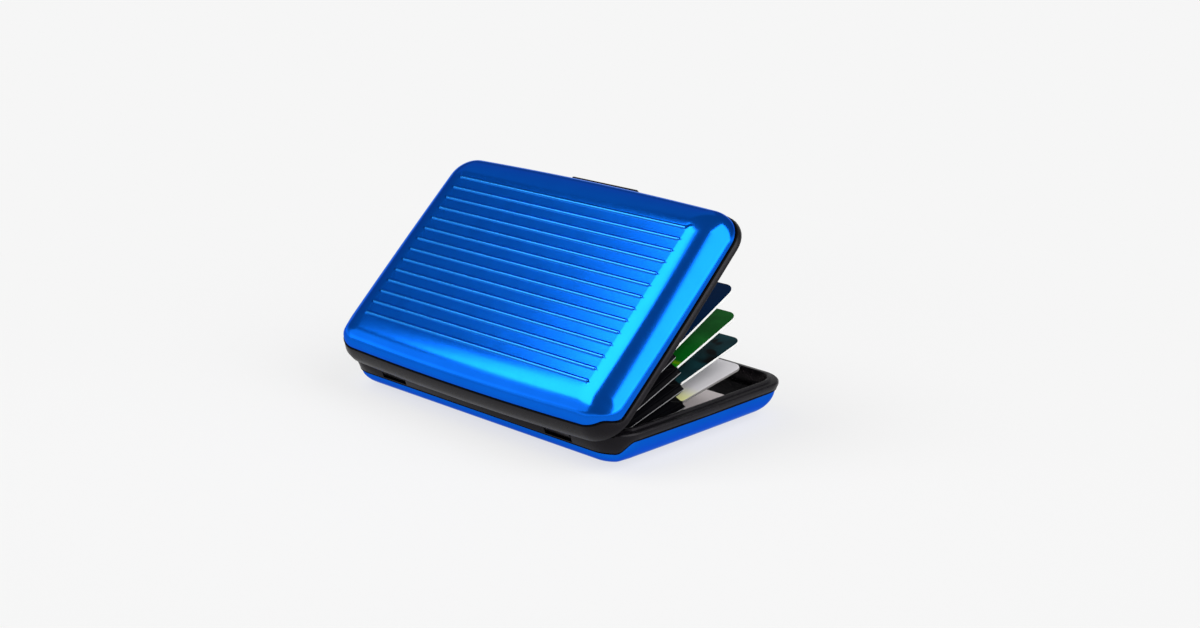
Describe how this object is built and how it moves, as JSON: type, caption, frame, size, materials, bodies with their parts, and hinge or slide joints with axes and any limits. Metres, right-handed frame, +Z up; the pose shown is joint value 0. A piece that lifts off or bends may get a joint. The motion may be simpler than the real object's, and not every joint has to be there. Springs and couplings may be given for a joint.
{
  "type": "card wallet",
  "caption": "Hinged aluminium card wallet, standing open: two ribbed half shells with black moulded frames, a front latch and a fan of film pockets that hold bank cards.",
  "frame": {"origin": "on the surface the wallet rests on, at the crest of the pressed rib just in front of the middle of the base", "axes": "+X along the hinge, to the right seen from the front; +Y towards the latch side; +Z up from the surface"},
  "size_m": [0.1106, 0.0816, 0.0637],
  "materials": {
    "anodised_aluminium": "blue anodised, satin to bright",
    "moulded_plastic": "black, satin moulded",
    "liner_plastic": "black, matt",
    "pocket_film": "black flexible film, satin",
    "steel": "plain wire",
    "foam": "adhesive foam",
    "card_1_print": "printed plastic card",
    "card_2_print": "printed plastic card",
    "card_3_print": "printed plastic card",
    "card_4_print": "printed plastic card",
    "card_5_print": "printed plastic card",
    "card_6_print": "printed plastic card",
    "card_7_print": "printed plastic card"
  },
  "bodies": {
    "base": {"base_shell": "anodised_aluminium", "base_frame": "moulded_plastic", "base_liner": "liner_plastic", "mounting_pad": "foam", "hinge_pin_left": "steel", "hinge_pin_right": "steel", "pocket_1_back": "pocket_film", "pocket_1_front": "pocket_film", "pleat_1_left": "pocket_film", "pleat_1_right": "pocket_film"},
    "lid": {"lid_shell": "anodised_aluminium", "lid_frame": "moulded_plastic", "lid_liner": "liner_plastic", "latch_pin": "steel", "latch_spring": "steel"},
    "latch": {"latch_clasp": "moulded_plastic"},
    "pocket_2": {"pocket_2_back": "pocket_film", "pocket_2_front": "pocket_film", "pleat_2_left": "pocket_film", "pleat_2_right": "pocket_film"},
    "pocket_3": {"pocket_3_back": "pocket_film", "pocket_3_front": "pocket_film", "pleat_3_left": "pocket_film", "pleat_3_right": "pocket_film"},
    "pocket_4": {"pocket_4_back": "pocket_film", "pocket_4_front": "pocket_film", "pleat_4_left": "pocket_film", "pleat_4_right": "pocket_film"},
    "pocket_5": {"pocket_5_back": "pocket_film", "pocket_5_front": "pocket_film", "pleat_5_left": "pocket_film", "pleat_5_right": "pocket_film"},
    "pocket_6": {"pocket_6_back": "pocket_film", "pocket_6_front": "pocket_film", "pleat_6_left": "pocket_film", "pleat_6_right": "pocket_film"},
    "pocket_7": {"pocket_7_back": "pocket_film", "pocket_7_front": "pocket_film", "pleat_7_left": "pocket_film", "pleat_7_right": "pocket_film"},
    "card_1": {"card_1": "card_1_print"},
    "card_2": {"card_2": "card_2_print"},
    "card_3": {"card_3": "card_3_print"},
    "card_4": {"card_4": "card_4_print"},
    "card_5": {"card_5": "card_5_print"},
    "card_6": {"card_6": "card_6_print"},
    "card_7": {"card_7": "card_7_print"}
  },
  "joints": [
    {"name": "lid_hinge", "type": "hinge", "parent": "base", "child": "lid", "pos_m": [0, -0.03718, 0.008], "axis": [1, 0, 0], "range_deg": [-42.7, 47.3]},
    {"name": "pocket_2_hinge", "type": "hinge", "parent": "base", "child": "pocket_2", "pos_m": [0, -0.03718, 0.008], "axis": [1, 0, 0], "range_deg": [-9.05, 10.02], "deforming": ["pleat_1_left", "pleat_1_right"]},
    {"name": "pocket_3_hinge", "type": "hinge", "parent": "pocket_2", "child": "pocket_3", "pos_m": [0, -0.03718, 0.008], "axis": [1, 0, 0], "range_deg": [-5.75, 6.36], "deforming": ["pleat_2_left", "pleat_2_right"]},
    {"name": "pocket_4_hinge", "type": "hinge", "parent": "pocket_3", "child": "pocket_4", "pos_m": [0, -0.03718, 0.008], "axis": [1, 0, 0], "range_deg": [-5.75, 6.36], "deforming": ["pleat_3_left", "pleat_3_right"]},
    {"name": "pocket_5_hinge", "type": "hinge", "parent": "pocket_4", "child": "pocket_5", "pos_m": [0, -0.03718, 0.008], "axis": [1, 0, 0], "range_deg": [-5.75, 6.36], "deforming": ["pleat_4_left", "pleat_4_right"]},
    {"name": "pocket_6_hinge", "type": "hinge", "parent": "pocket_5", "child": "pocket_6", "pos_m": [0, -0.03718, 0.008], "axis": [1, 0, 0], "range_deg": [-5.75, 6.36], "deforming": ["pleat_5_left", "pleat_5_right"]},
    {"name": "pocket_7_hinge", "type": "hinge", "parent": "pocket_6", "child": "pocket_7", "pos_m": [0, -0.03718, 0.008], "axis": [1, 0, 0], "range_deg": [-5.75, 6.36], "deforming": ["pleat_6_left", "pleat_6_right"]},
    {"name": "latch_pivot", "type": "hinge", "parent": "lid", "child": "latch", "pos_m": [0, 0.01331, 0.06071], "axis": [1, 0, 0], "range_deg": [0, 16], "stiffness_Nm_per_rad": 0.0005, "springref_deg": -17.19},
    {"name": "card_1_slide", "type": "slide", "parent": "base", "child": "card_1", "axis": [0, 1, 0], "range_m": [0, 0.003]},
    {"name": "card_2_slide", "type": "slide", "parent": "pocket_2", "child": "card_2", "axis": [0, 0.9877, 0.1564], "range_m": [0, 0.025]},
    {"name": "card_3_slide", "type": "slide", "parent": "pocket_3", "child": "card_3", "axis": [0, 0.9673, 0.2538], "range_m": [0, 0.025]},
    {"name": "card_4_slide", "type": "slide", "parent": "pocket_4", "child": "card_4", "axis": [0, 0.9373, 0.3486], "range_m": [0, 0.025]},
    {"name": "card_5_slide", "type": "slide", "parent": "pocket_5", "child": "card_5", "axis": [0, 0.898, 0.4399], "range_m": [0, 0.025]},
    {"name": "card_6_slide", "type": "slide", "parent": "pocket_6", "child": "card_6", "axis": [0, 0.8499, 0.527], "range_m": [0, 0.025]},
    {"name": "card_7_slide", "type": "slide", "parent": "pocket_7", "child": "card_7", "axis": [0, 0.7934, 0.6088], "range_m": [0, 0.005]}
  ],
  "couplings": [
    {"joint": "pocket_2_hinge", "follows": "lid_hinge", "ratio": 0.21077},
    {"joint": "pocket_3_hinge", "follows": "lid_hinge", "ratio": 0.13349},
    {"joint": "pocket_4_hinge", "follows": "lid_hinge", "ratio": 0.13349},
    {"joint": "pocket_5_hinge", "follows": "lid_hinge", "ratio": 0.13349},
    {"joint": "pocket_6_hinge", "follows": "lid_hinge", "ratio": 0.13349},
    {"joint": "pocket_7_hinge", "follows": "lid_hinge", "ratio": 0.13349}
  ]
}
